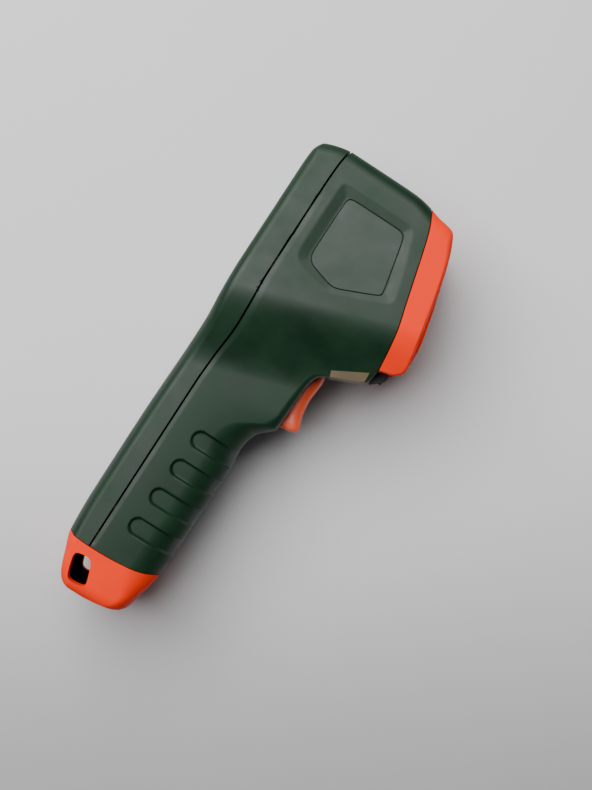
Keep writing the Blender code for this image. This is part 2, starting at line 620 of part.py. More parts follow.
def display_side():
    block("display_window", (0.8, 172.5, 0), (1.0, 53.0, 50.0), "clear", edge=0.25)
    gasket = block("display_gasket", (3.5, 172.5, 0), (0.9, 51.2, 45.4), "rubber")
    combine(gasket, [block("gap", (3.4, 172.5, 0), (3.0, 49.6, 39.0), "rubber", 0, CUTTERS)])
    block("display_panel", (5.6, 172.5, 0), (2.6, 54.0, 43.0), "black", edge=0.3)
    board = block("main_board", (10.4, 173.0, 0), (1.6, 53.0, 54.0), "board")
    chips = []
    for y, z, long, wide in ((180, 8, 14, 14), (165, -12, 10, 12), (190, -14, 8, 8), (157, 14, 6, 12)):
        chips.append(block("chip", (11.6, y, z), (1.6, long, wide), "board", 0, CUTTERS))
    combine(board, chips, "UNION")
    block("keypad_board", (8.2, 120.0, 0), (1.2, 45.0, 35.0), "board")
    sheet = block("keypad_sheet", (6.7, 120.0, 0), (0.8, 45.0, 34.0), "rubber")
    domes = [block("dome", (7.2, y, z), (0.6, 4, 4), "rubber", 0, CUTTERS) for _n, y, z, _w, _h in KEYS]
    combine(sheet, domes, "UNION")


def keys():
    """Six keys that slide in toward the board, each with a flange that keeps it behind the shell."""
    for name, y, z, wide, high in KEYS:
        face = smooth_line(REAR_LINE, y) + 0.15
        back = 4.8
        cap = block(name, ((face + back) / 2, y, z), (back - face, high, wide), "rubber", edge=0.5)
        flange = block("flange", (5.0, y, z), (0.6, high + 1.2, wide + 1.2), "rubber", 0, CUTTERS)
        combine(cap, [flange], "UNION")
        origin_at(cap, (face, y, z))


def trigger_parts():
    outline = ((50.6, 102.3), (54.2, 103.1), (56.8, 104.5), (57.3, 106.0), (56.0, 110.0), (54.9, 114.5),
               (54.5, 118.0), (54.8, 123.0), (55.0, 127.6), (53.6, 130.4), (53.2, 133.6), (52.0, 135.3),
               (50.2, 135.9), (48.4, 135.2), (47.6, 133.4), (47.5, 105.0), (48.4, 102.8))
    body = outline_solid("trigger", outline, -8.9, 8.9, "orange")
    shape = body.modifiers.new("edges", "BEVEL")
    shape.width = 1.2 * MM
    shape.segments = 2
    shape.limit_method = "ANGLE"
    shape.angle_limit = math.radians(60)
    pin = (*TRIGGER_PIVOT, -13.0)
    tools = [block("fork", (50.5, 135.0, 0), (14, 10.6, 9.0), "orange", 0, CUTTERS)]
    tools.append(rod("bore", pin, (0, 0, 1), 1.3, 26.0, "orange", 16, CUTTERS))
    combine(body, tools)
    origin_at(body, (*TRIGGER_PIVOT, 0))
    rod("trigger_pin", (*TRIGGER_PIVOT, -12.8), (0, 0, 1), 1.0, 25.6, "steel", 16)
    trigger_spring()
    switch = block("trigger_switch", (37.6, 112.0, 0), (6.4, 14.0, 6.4), "black")
    button = block("plunger", (41.2, 110.0, 0), (1.8, 2.2, 3.0), "black", 0, CUTTERS)
    combine(switch, [button], "UNION")


def trigger_spring():
    """A torsion coil round the pin."""
    curve = bpy.data.curves.new("trigger_spring", "CURVE")
    curve.dimensions = "3D"
    curve.bevel_depth = 0.35 * MM
    curve.bevel_resolution = 2
    curve.use_fill_caps = True
    turns = 4
    steps = 12
    spline = curve.splines.new("POLY")
    spline.points.add(turns * steps)
    for k in range(turns * steps + 1):
        a = math.tau * k / steps
        z = -2.4 + 4.8 * k / (turns * steps)
        at = world(TRIGGER_PIVOT[0] + 1.75 * math.cos(a), TRIGGER_PIVOT[1] + 1.75 * math.sin(a), z)
        spline.points[k].co = (*at, 1)
    place(bpy.data.objects.new("trigger_spring", curve), PARTS, "steel")


def power_parts():
    rod("battery", (24.0, 28.0, 0), (0, 1, 0), 9.2, 65.0, "cell", 28)
    holder = block("battery_holder", (18.4, 60.5, 0), (10.6, 72.0, 22.0), "black")
    trough = rod("trough", (24.0, 25.4, 0), (0, 1, 0), 9.6, 70.2, "black", 28, CUTTERS)
    combine(holder, [trough])
    rod("battery_contact_low", (24.0, 25.9, 0), (0, 1, 0), 4.6, 1.6, "steel", 20)
    rod("battery_contact_high", (24.0, 93.4, 0), (0, 1, 0), 4.6, 1.6, "steel", 20)


def cap_parts():
    turned("tripod_insert", (31.0, 1.2, 0), (0, 1, 0),
           ((0, 3.2), (0, 5.0), (9.6, 5.0), (9.6, 0), (8.0, 0), (8.0, 3.2)), "brass", 24)
    for name, side in (("cap_screw_right", 1), ("cap_screw_left", -1)):
        turned(name, (CAP_SCREW_X, 3.2, side * CAP_SCREW_Z), (0, 1, 0),
               ((0, 0), (0, 2.4), (1.9, 2.4), (1.9, 1.2), (28.0, 1.2), (28.8, 0)), "steel", 16)


def port_parts():
    flap = block("port_door", (30.7, 209.4, 0), (29.0, 1.8, 26.0), "green", edge=0.3)
    knuckle = rod("knuckle", (*DOOR_AXIS, -13.0), (0, 0, 1), 2.0, 26.0, "green", 20, CUTTERS)
    combine(flap, [knuckle], "UNION")
    combine(flap, [rod("bore", (*DOOR_AXIS, -20), (0, 0, 1), 1.3, 40.0, "green", 16, CUTTERS)])
    origin_at(flap, (*DOOR_AXIS, 0))
    rod("port_door_pin", (*DOOR_AXIS, -15.4), (0, 0, 1), 1.0, 30.8, "steel", 16)
    usb = block("usb_socket", (25.0, 197.6, 0), (3.4, 7.4, 9.4), "steel", edge=0.6)
    combine(usb, [block("mouth", (25.0, 200.0, 0), (2.4, 6.0, 8.2), "steel", 0, CUTTERS)])
    card = block("card_socket", (36.0, 197.6, 0), (2.4, 7.4, 14.6), "alloy")
    combine(card, [block("mouth", (36.0, 200.0, 0), (1.2, 6.0, 11.4), "steel", 0, CUTTERS)])
    block("port_board", (31.0, 192.6, 0), (20.0, 1.2, 26.0), "board")


def housing_screws():
    places = (("low", SCREW_Y, SCREW_Z), ("head", HEAD_SCREW_Y, HEAD_SCREW_Z))
    for word, y, z in places:
        for hand, side in (("right", 1), ("left", -1)):
            turned(f"housing_screw_{word}_{hand}", (4.4, y, side * z), (1, 0, 0),
                   ((0, 0), (0, 2.4), (1.3, 2.4), (1.3, 1.2), (17.0, 1.2), (17.8, 0)), "steel", 16)


def smooth_shells(pieces):
    for obj in pieces:
        obj.data.shade_smooth()
        obj.data.set_sharp_from_angle(angle=math.radians(28))


def build():
    clear_scene()
    rear, front, bezel, cap = shells()
    cut_rear_shell(rear)
    cut_front_housing(front)
    cut_bezel(bezel)
    cut_cap(cap)
    smooth_shells((rear, front, bezel, cap))
    trims()
    front_optics()
    lens_shutter()
    display_side()
    keys()
    trigger_parts()
    power_parts()
    cap_parts()
    port_parts()
    housing_screws()


build()
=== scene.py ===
"""Finished look of the infrared thermometer, built round its CAD model in the same frame.

Shapes are given in the object's own millimetres: X from the display to the lens, Y from the end cap to the
head top, Z across the width from the mid-plane.
"""

import math

import bmesh
import bpy
import numpy as np
from mathutils import Matrix, Vector

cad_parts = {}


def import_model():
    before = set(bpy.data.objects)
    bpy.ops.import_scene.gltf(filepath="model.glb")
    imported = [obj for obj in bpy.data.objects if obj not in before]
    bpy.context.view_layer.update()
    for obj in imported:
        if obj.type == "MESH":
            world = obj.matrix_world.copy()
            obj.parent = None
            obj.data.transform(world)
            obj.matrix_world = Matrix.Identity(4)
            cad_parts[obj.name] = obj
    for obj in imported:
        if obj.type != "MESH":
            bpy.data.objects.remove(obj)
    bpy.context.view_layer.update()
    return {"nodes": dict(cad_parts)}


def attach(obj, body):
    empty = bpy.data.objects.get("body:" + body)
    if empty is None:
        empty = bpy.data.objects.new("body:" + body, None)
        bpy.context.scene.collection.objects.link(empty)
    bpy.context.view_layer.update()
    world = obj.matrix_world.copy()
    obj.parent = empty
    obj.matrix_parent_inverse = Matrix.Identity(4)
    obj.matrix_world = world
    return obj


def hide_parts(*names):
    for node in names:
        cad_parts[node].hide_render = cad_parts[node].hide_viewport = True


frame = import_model()

MM = 0.001

# Size of the body and where its middle lies.
TOP_Y = 210.3
FOOT_Y = 0.6
MID_X = 40.4
MID_Y = (TOP_Y + FOOT_Y) / 2
HEAD_HALF = 32.0
WALL = 2.2
FAR = 260.0
FULL_WIDTH = 45

# The body's outline. Rear and front give X at a Y; top and bottom give Y at an X.
REAR_LINE = ((0.6, 13.5), (1.3, 10.6), (3.5, 8.3), (13.0, 4.2), (21.0, 1.5), (40.0, 0.5),
             (75.0, 0.3), (110.0, 0.9), (124.0, 1.3), (135.0, 0.8), (150.0, 0.3), (195.0, 0.3),
             (201.5, 0.6), (206.6, 2.6), (208.3, 7.0), (209.8, 14.0), (210.3, 18.0))
FRONT_LINE = ((0.6, 26.0), (2.8, 36.0), (5.0, 38.3), (12.0, 40.0), (24.5, 42.3), (50.0, 42.6),
              (77.0, 42.8), (85.0, 41.8), (93.5, 43.5), (97.5, 47.0), (101.0, 50.0), (118.0, 50.3),
              (123.0, 50.7), (127.0, 51.9), (129.2, 54.5), (131.0, 58.3), (137.0, 70.0), (143.0, 71.5),
              (145.0, 77.5), (148.0, 80.2), (152.0, 80.5), (157.0, 80.2), (170.0, 77.5),
              (183.0, 74.0), (194.0, 70.8), (203.0, 67.0), (205.6, 65.0), (207.0, 58.0),
              (208.5, 53.0), (210.3, 40.0))
TOP_LINE = ((0.0, 203.0), (3.0, 206.8), (14.0, 210.0), (46.0, 209.8), (58.0, 207.0), (65.0, 205.6),
            (69.0, 199.0), (80.5, 152.0))
BOTTOM_LINE = ((2.0, 21.0), (5.0, 13.0), (9.0, 3.5), (14.0, 0.6), (30.0, 1.0), (36.0, 2.8),
               (40.0, 12.0))
INNER_HEIGHTS = (17.0, 24.0, 44.0, 68.0, 85.0, 94.0, 99.0, 104.0, 116.0, 123.0, 128.0, 132.0,
                 136.0, 140.0, 144.0, 147.5, 151.0, 157.0, 172.0, 188.0, 200.0, 204.5, 207.0)

# Joint lines between the shells: X of the seam and of the bezel edge at a Y, Y of the cap edge at an X.
SEAM_LINE = ((18.0, 12.3), (60.0, 12.1), (100.0, 12.0), (112.0, 12.5), (128.0, 13.8), (137.0, 13.6),
             (152.0, 12.8), (190.0, 12.7), (202.0, 13.0), (207.0, 13.6), (212.0, 14.8))
BEZEL_LINE = ((128.0, 75.0), (143.0, 71.0), (150.0, 70.0), (160.0, 68.3), (170.0, 65.6),
              (180.0, 62.9), (190.0, 60.2), (200.0, 57.2), (208.5, 53.5), (213.0, 52.0))
CAP_LINE = ((-4.0, 22.2), (2.2, 21.3), (5.0, 20.6), (12.0, 20.3), (20.0, 20.5), (30.0, 21.3),
            (36.0, 22.3), (42.3, 24.6), (52.0, 28.5))
SEAM_GAP = 0.8
BEZEL_GAP = 0.45
CAP_GAP = 0.35
JOINT_STEPS = 160

# How the body's half width and its corners change.
HANDLE_HALF = 21.8
HANDLE_LOW_HALF = 21.0
REAR_FALL = 0.015
REAR_FALL_HEAD = 0.02
REAR_CREST_X = 13.0
NECK_SLANT = 0.34
NECK_FROM_X = 15.0
SIDE_SLOPE = 0.04
SIDE_BEND = 0.0025
SIDE_BEND_END = 48.0
NECK_TOP = 144.5
NECK_RUN = 37.0
NECK_FOOT_Y = 88.0
NECK_BLEND = 19.0
HEAD_FOOT_Y = 104.0
HEAD_BLEND = 42.0
EDGE_ROUND = 6.0
EDGE_DROP = 4.5
CORNER_SHARE = 0.85
LEAST_RADIUS = 0.8

# Moulded detail of the side: the dish round the plate, the grip grooves and the ledge at the seam.
SIDE_FROM_Z = 4.0
CORNER_CUT = 1.6
DISH_DEPTH = 0.82
DISH_SLOPE = 4.4
GROOVE_DEPTH = 1.25
GROOVE_HALF = 3.95
GROOVE_EDGE = 1.1
GROOVE_RISE = 9.0
LEDGE_DEPTH = 0.42
LEDGE_WIDTH = 2.0
LEDGE_WAIST_Y = 132.0
PLATE = ((23.4, 193.8), (23.4, 169.0), (23.9, 165.6), (26.0, 163.5), (37.6, 160.2), (55.4, 168.0),
         (55.2, 170.5), (50.9, 189.7), (49.4, 193.8))
DISH = ((18.2, 197.9), (18.2, 165.1), (20.0, 162.0), (22.6, 160.6), (36.2, 157.4), (60.4, 167.2),
        (60.7, 171.0), (57.0, 182.8), (52.4, 196.0), (50.6, 197.9))
GROOVES = ((76.4, 22.7), (62.4, 22.0), (48.1, 21.3), (33.5, 20.6))
SLOT = ((8.2, 15.6), (16.2, 16.6), (20.4, 5.0), (11.6, 4.0))
LABEL = ((55.1, 132.9), (57.6, 126.5), (74.0, 130.0), (69.2, 134.0), (68.5, 140.4))
LABEL_LIFT = 0.22
LABEL_SLOPE = math.radians(29)
LABEL_SPREAD = 0.007

# The front face, and the places of the optics on it: up the face, across it, and the hole's radius.
FACE_X = 80.2
FACE_Y = 157.0
FACE_ANGLE = math.radians(17.4)
FACE_UP = (-math.sin(FACE_ANGLE), math.cos(FACE_ANGLE))
FACE_OUT = (math.cos(FACE_ANGLE), math.sin(FACE_ANGLE))
FACE_AXIS = (*FACE_OUT, 0)
INFRARED = (9.5, 0.0, 7.4)
CAMERA = (23.5, 0.0, 3.5)
LASER = (37.0, 11.0, 2.5)
LAMP = (37.0, -11.0, 4.3)
HOOD_BACK = -9.2
GLASS_BACK = -4.4
SHUTTER_REST = 8.0

# Screws, keys, the trigger, the door and the display.
SCREW_Y = 38.5
SCREW_Z = 15.5
HEAD_SCREW_Y = 142.5
HEAD_SCREW_Z = 24.3
CAP_SCREW_X = 28.0
CAP_SCREW_Z = 12.5
SEAT_END = 5.9
PLUG_RADIUS = 2.66
PLUG_END = 4.0
HEAD_PLUG_END = 2.7
COLLAR_PROFILE = ((0, 1.4), (0, 2.7), (0.15, 2.9), (0.85, 2.9), (1.0, 2.7), (1.0, 1.4))
TRIGGER_PIVOT = (50.5, 133.0)
TRIGGER_MOUTH = ((40, 101.5), (64, 101.5), (64, 124), (55.8, 129.0), (54.6, 131), (54.2, 134.4),
                 (52.6, 136.6), (48.3, 136.6), (46.4, 135), (40, 134))
TRIGGER_FRONT = ((102.3, 52.2), (102.9, 55.2), (104.2, 57.6), (105.4, 57.9), (107.0, 57.4),
                 (110.0, 56.2), (114.5, 55.2), (117.5, 54.9), (122.0, 55.1), (126.5, 55.4),
                 (128.4, 55.2), (130.4, 54.4), (133.6, 53.6), (135.3, 52.2), (135.9, 50.8))
TRIGGER_REAR = ((102.3, 49.6), (102.8, 48.4), (105.0, 47.5), (133.4, 47.6), (135.2, 48.4),
                (135.9, 50.2))
TRIGGER_FOOT_Y = 102.3
TRIGGER_HALF = 8.9
DOOR_AXIS = (45.2, 208.3)
PIN_RADIUS = 1.15
BORE_RADIUS = 1.3
KEYS = (("menu", 126.0, 0.0, 12.0, 9.6), ("up", 138.2, 0.0, 12.0, 7.4),
        ("down", 113.8, 0.0, 12.0, 7.4), ("left", 126.0, -11.9, 6.4, 11.0),
        ("right", 126.0, 11.9, 6.4, 11.0), ("power", 102.0, 0.0, 11.0, 8.0))
ARROWS = {"up": (0, 1), "down": (0, -1), "left": (-1, 0), "right": (1, 0)}
KEY_SUNK = 0.15
KEY_BACK = 4.8
SIGN_REACH = 1.7
DISPLAY_Y = 172.5
DISPLAY_LOW = 148.0
DISPLAY_HIGH = 197.0
DISPLAY_LINE = 0.35
DISPLAY_EDGE_Z = 18.7

# A pale floor, one broad soft light and a camera looking straight down.
CAMERA_OVER = (48.7, 116.9)
CAMERA_HEIGHT = 570.0
CAMERA_TURN = math.radians(33.2)
CAMERA_LENS = 62.1
SENSOR = 36.0
FLOOR_HALF = 4.0
FLOOR_DROP = 0.0004


def world(x, y, z):
    """A place in the shared frame, in metres, of a point in the object's millimetres."""
    return Vector(((x - MID_X) * MM, (y - MID_Y) * MM, (z + HEAD_HALF) * MM))


def face_point(up, out, z=0.0):
    """A point given along the front face: up the face, out of it, and across it."""
    x = FACE_X + up * FACE_UP[0] + out * FACE_OUT[0]
    y = FACE_Y + up * FACE_UP[1] + out * FACE_OUT[1]
    return (x, y, z)


def smooth_line(stations, at):
    """Values of a line of stations at positions, by a cubic that never overshoots a station."""
    keys = np.array([s[0] for s in stations], dtype=float)
    vals = np.array([s[1] for s in stations], dtype=float)
    slopes = np.diff(vals) / np.diff(keys)
    ends = np.concatenate(([slopes[0]], slopes, [slopes[-1]]))
    before = ends[:-1]
    after = ends[1:]
    same = before * after > 0
    tangent = np.where(same, 2 * before * after / np.where(same, before + after, 1.0), 0.0)
    at = np.clip(np.asarray(at, dtype=float), keys[0], keys[-1])
    k = np.clip(np.searchsorted(keys, at, side="right") - 1, 0, len(keys) - 2)
    span = keys[k + 1] - keys[k]
    t = (at - keys[k]) / span
    rise = vals[k] * (1 + 2 * t) * (1 - t) ** 2 + vals[k + 1] * t * t * (3 - 2 * t)
    bend = tangent[k] * t * (1 - t) ** 2 - tangent[k + 1] * t * t * (1 - t)
    return rise + span * bend


def ease(t):
    """A smooth step from 0 to 1."""
    t = np.clip(t, 0.0, 1.0)
    return t * t * (3 - 2 * t)


def edge_drop(depth):
    """How far the side falls away within the rounded edge, at a depth in from the outline."""
    part = 1 - np.clip(depth, 0.0, EDGE_ROUND) / EDGE_ROUND
    return EDGE_DROP * (1 - np.sqrt(1 - part * part))


def neck_share(y):
    """How far the handle has opened out into the neck: 0 on the grip, 1 above it."""
    return ease((y - NECK_FOOT_Y) / NECK_BLEND)


def half_width(x, y):
    """Half the body's width at points of its side."""
    low = np.clip(y / 120.0, 0.0, 1.0)
    handle = HANDLE_LOW_HALF + (HANDLE_HALF - HANDLE_LOW_HALF) * low
    slant = y - NECK_SLANT * (x - NECK_FROM_X)
    rise = ease((slant - NECK_TOP + NECK_RUN) / NECK_RUN)
    past = np.clip(x, REAR_CREST_X, SIDE_BEND_END) - REAR_CREST_X
    neck = neck_share(y)
    handle = handle - SIDE_SLOPE * (1 + 0.6 * neck) * past - SIDE_BEND * (1 - neck) * past ** 2
    wide = handle + (HEAD_HALF - handle) * rise
    wide = wide - (REAR_FALL + (REAR_FALL_HEAD - REAR_FALL) * rise) * np.maximum(REAR_CREST_X - x, 0.0)
    wide = wide - edge_drop(smooth_line(TOP_LINE, x) - y)
    return wide - edge_drop(y - smooth_line(BOTTOM_LINE, x))


def corner_radii(y):
    """Depth and width of the rear and front corners at a height."""
    head = ease((y - HEAD_FOOT_Y) / HEAD_BLEND)
    neck = neck_share(y)
    tip = np.clip((TOP_Y - y) / 12.0, 0.25, 1.0)
    foot = np.clip(y / 20.0, 0.3, 1.0)
    rear = ((5.0 - 1.0 * head) * tip * foot, 9.0 - 4.0 * head)
    front_depth = (12.0 - 8.5 * neck - 2.3 * head) * tip * np.maximum(foot, 0.5)
    front = (front_depth, 9.0 - 5.0 * neck - 2.7 * head)
    return rear, front


def inset_edge(stations, y, inset, side):
    """X of the outline moved inward by a wall, measured square to the outline."""
    if inset == 0:
        return smooth_line(stations, y)
    found = []
    for k in range(-6, 7):
        shift = inset * math.sin(math.radians(90) * k / 6)
        reach = math.sqrt(max(inset * inset - shift * shift, 0.0))
        found.append(side * smooth_line(stations, y + shift) - reach)
    return side * np.min(found, axis=0)


def section_grid(y, inset, flat_steps, corner_steps, side_steps, front_steps):
    """Half sections, X and Z, one row for each height, from the rear middle to the front middle."""
    rear_x = inset_edge(REAR_LINE, y, inset, -1)
    front_x = inset_edge(FRONT_LINE, y, inset, 1)
    (rear_r, rear_h), (front_r, front_h) = corner_radii(y)
    rear_r, front_r, rear_h, front_h = (np.maximum(v - inset, LEAST_RADIUS)
                                        for v in (rear_r, front_r, rear_h, front_h))
    rear_w = half_width(rear_x + rear_r, y) - inset
    front_w = half_width(front_x - front_r, y) - inset
    rear_h = np.minimum(rear_h, CORNER_SHARE * rear_w)
    front_h = np.minimum(front_h, CORNER_SHARE * front_w)
    xs = []
    zs = []
    for k in range(flat_steps):
        xs.append(rear_x)
        zs.append((rear_w - rear_h) * k / flat_steps)
    for k in range(corner_steps + 1):
        a = math.radians(90) * k / corner_steps
        xs.append(rear_x + rear_r * (1 - math.cos(a)))
        zs.append(rear_w - rear_h * (1 - math.sin(a)))
    start = rear_x + rear_r
    run = front_x - front_r - start
    for k in range(1, side_steps):
        x = start + run * k / side_steps
        xs.append(x)
        zs.append(half_width(x, y) - inset)
    for k in range(front_steps + 1):
        a = math.radians(90) * k / front_steps
        x = front_x - front_r * (1 - math.sin(a))
        xs.append(x)
        zs.append(half_width(x, y) - inset - front_h * (1 - math.cos(a)))
    for k in range(flat_steps + 1):
        if k:
            xs.append(front_x)
            zs.append((half_width(front_x, y) - inset - front_h) * (1 - k / flat_steps))
    return np.stack(xs, axis=1), np.stack(zs, axis=1)


def outline_distance(points, x, y):
    """Signed distance of positions to a closed outline, positive inside."""
    near = np.full(np.shape(x), 1e9)
    inside = np.zeros(np.shape(x), dtype=bool)
    for (ax, ay), (bx, by) in zip(points, points[1:] + points[:1]):
        ex, ey = bx - ax, by - ay
        t = np.clip(((x - ax) * ex + (y - ay) * ey) / (ex * ex + ey * ey), 0.0, 1.0)
        near = np.minimum(near, np.hypot(x - ax - t * ex, y - ay - t * ey))
        crosses = (ay > y) != (by > y)
        at = ax + (y - ay) * ex / (ey if ey else 1e-9)
        inside ^= crosses & (x < at)
    return np.where(inside, near, -near)


def rounded(points, rounds=3):
    """An outline with its corners cut again and again until they are round."""
    for _ in range(rounds):
        cut = []
        for (ax, ay), (bx, by) in zip(points, points[1:] + points[:1]):
            length = math.hypot(bx - ax, by - ay)
            part = min(0.25, CORNER_CUT / length)
            cut.append((ax + (bx - ax) * part, ay + (by - ay) * part))
            cut.append((bx + (ax - bx) * part, by + (ay - by) * part))
        points = cut
    return tuple(points)


def relief(x, y, z):
    """How deep the side's moulded detail is cut in, square to the surface."""
    side = z > SIDE_FROM_Z
    dish = DISH_DEPTH * np.clip(outline_distance(rounded(DISH), x, y) / DISH_SLOPE, 0.0, 1.0)
    deep = np.where(side, dish, 0.0)
    for low, start in GROOVES:
        middle = low + GROOVE_HALF
        along = np.maximum(x, start + GROOVE_HALF)
        reach = np.hypot(x - along, y - middle)
        groove = GROOVE_DEPTH * ease((GROOVE_HALF + 0.2 - reach) / GROOVE_EDGE)
        deep = np.maximum(deep, groove * ease((z - SIDE_FROM_Z) / GROOVE_RISE))
    past = x - smooth_line(SEAM_LINE, y)
    width = LEDGE_WIDTH + 0.9 * np.exp(-((y - LEDGE_WAIST_Y) / 14.0) ** 2)
    ledge = LEDGE_DEPTH * np.clip(1 - past / width, 0.0, 1.0) * ease((193.0 - y) / 8.0)
    ledge = ledge * ease((y - 21.0) / 2.0)
    return deep + np.where(side & (past > 0), ledge, 0.0)


def body_form(name, heights, inset, steps, detailed):
    """The body's outer or inner form as one closed mesh."""
    y = np.asarray(heights, dtype=float)
    xs, zs = section_grid(y, inset, *steps)
    ys = np.repeat(y[:, None], xs.shape[1], axis=1)
    if detailed:
        grid = np.stack((xs, ys, zs), axis=2)
        along = np.gradient(grid, axis=0)
        across = np.gradient(grid, axis=1)
        normal = np.cross(across, along)
        normal /= np.maximum(np.linalg.norm(normal, axis=2, keepdims=True), 1e-9)
        deep = relief(xs, ys, zs)
        deep[:, 0] = 0.0
        deep[:, -1] = 0.0
        grid = grid - normal * deep[..., None]
        xs, ys, zs = grid[..., 0], grid[..., 1], grid[..., 2]
    xs = np.concatenate((xs, xs[:, -2:0:-1]), axis=1)
    ys = np.concatenate((ys, ys[:, -2:0:-1]), axis=1)
    zs = np.concatenate((zs, -zs[:, -2:0:-1]), axis=1)
    rows, count = xs.shape
    places = ((xs - MID_X) * MM, (ys - MID_Y) * MM, (zs + HEAD_HALF) * MM)
    points = np.stack(places, axis=2).reshape(-1, 3)
    faces = [tuple(range(count))[::-1], tuple(range((rows - 1) * count, rows * count))]
    for r in range(rows - 1):
        base = r * count
        for k in range(count):
            after = (k + 1) % count
            faces.append((base + k, base + after, base + count + after, base + count + k))
    return new_piece(name, points.tolist(), faces)


def finish_mesh(name, mesh):
    """An object from a mesh, with faces turned outward."""
    shaped = bmesh.new()
    shaped.from_mesh(mesh)
    bmesh.ops.recalc_face_normals(shaped, faces=shaped.faces)
    shaped.to_mesh(mesh)
    shaped.free()
    obj = bpy.data.objects.new(name, mesh)
    bpy.context.scene.collection.objects.link(obj)
    return obj


def new_piece(name, points, faces):
    """A piece from its points and faces."""
    mesh = bpy.data.meshes.new(name)
    mesh.from_pydata(points, [], faces)
    return finish_mesh(name, mesh)


def outline_solid(name, points, low, high):
    """A prism on a flat outline of the XY plane, from low to high across the width."""
    count = len(points)
    corners = [world(x, y, low) for x, y in points] + [world(x, y, high) for x, y in points]
    faces = [tuple(range(count))[::-1], tuple(range(count, 2 * count))]
    for k in range(count):
        j = (k + 1) % count
        faces.append((k, j, count + j, count + k))
    return new_piece(name, corners, faces)


def block(name, centre, size, turn=0.0, edge=0.0, segments=3):
    """A box with its size along X, Y and Z, turned about Z, with rounded edges if asked."""
    shaped = bmesh.new()
    bmesh.ops.create_cube(shaped, size=1.0)
    bmesh.ops.scale(shaped, vec=Vector(size) * MM, verts=shaped.verts)
    if edge:
        bmesh.ops.bevel(shaped, geom=shaped.edges[:], offset=edge * MM, segments=segments,
                        affect="EDGES", profile=0.5)
    place = Matrix.Translation(world(*centre)) @ Matrix.Rotation(turn, 4, "Z")
    bmesh.ops.transform(shaped, matrix=place, verts=shaped.verts)
    mesh = bpy.data.meshes.new(name)
    shaped.to_mesh(mesh)
    shaped.free()
    return finish_mesh(name, mesh)


def face_block(name, up, out, across, size, edge=0.0):
    """A box set square to the front face; its size runs out of the face, up it and across it."""
    return block(name, face_point(up, out, across), size, FACE_ANGLE, edge)


def turned(name, start, direction, profile, steps=48):
    """A turned piece: profile points are (along the axis, radius)."""
    outline = bpy.data.meshes.new(name + "_profile")
    edges = [(k, k + 1) for k in range(len(profile) - 1)]
    if profile[0][1] > 0:
        edges.append((len(profile) - 1, 0))
    outline.from_pydata([(radius * MM, 0, along * MM) for along, radius in profile], edges, [])
    source = bpy.data.objects.new(name + "_profile", outline)
    bpy.context.scene.collection.objects.link(source)
    screw = source.modifiers.new("turn", "SCREW")
    screw.steps = steps
    screw.render_steps = steps
    screw.use_merge_vertices = True
    screw.merge_threshold = 1e-6
    depsgraph = bpy.context.evaluated_depsgraph_get()
    mesh = bpy.data.meshes.new_from_object(source.evaluated_get(depsgraph))
    bpy.data.objects.remove(source)
    aim = Vector(direction).to_track_quat("Z", "Y").to_matrix().to_4x4()
    mesh.transform(Matrix.Translation(world(*start)) @ aim)
    return smooth(finish_mesh(name, mesh), 32)


def rod(name, start, direction, radius, length, steps=32):
    """A round rod along a direction."""
    profile = ((0, 0), (0, radius), (length, radius), (length, 0))
    return turned(name, start, direction, profile, steps)


def combine(target, tools, operation="DIFFERENCE"):
    """Applies each tool to the target and removes the tool."""
    for tool in tools:
        modifier = target.modifiers.new(tool.name, "BOOLEAN")
        modifier.operation = operation
        modifier.solver = "MANIFOLD"
        modifier.object = tool
        depsgraph = bpy.context.evaluated_depsgraph_get()
        made = bpy.data.meshes.new_from_object(target.evaluated_get(depsgraph))
        target.modifiers.clear()
        old = target.data
        target.data = made
        bpy.data.meshes.remove(old)
        bpy.data.objects.remove(tool)
    return target


def copy_of(source, name):
    """A copy of a piece with a mesh of its own."""
    made = bpy.data.objects.new(name, source.data.copy())
    bpy.context.scene.collection.objects.link(made)
    return made


def smooth(obj, degrees=30):
    """Smooth shading, with edges sharper than the angle kept sharp."""
    obj.data.shade_smooth()
    obj.data.set_sharp_from_angle(angle=math.radians(degrees))
    return obj


def soften(obj, width):
    """Rounds a piece's edges."""
    edges = obj.modifiers.new("edges", "BEVEL")
    edges.width = width * MM
    edges.segments = 3
    edges.limit_method = "ANGLE"
    edges.angle_limit = math.radians(40)
    return obj


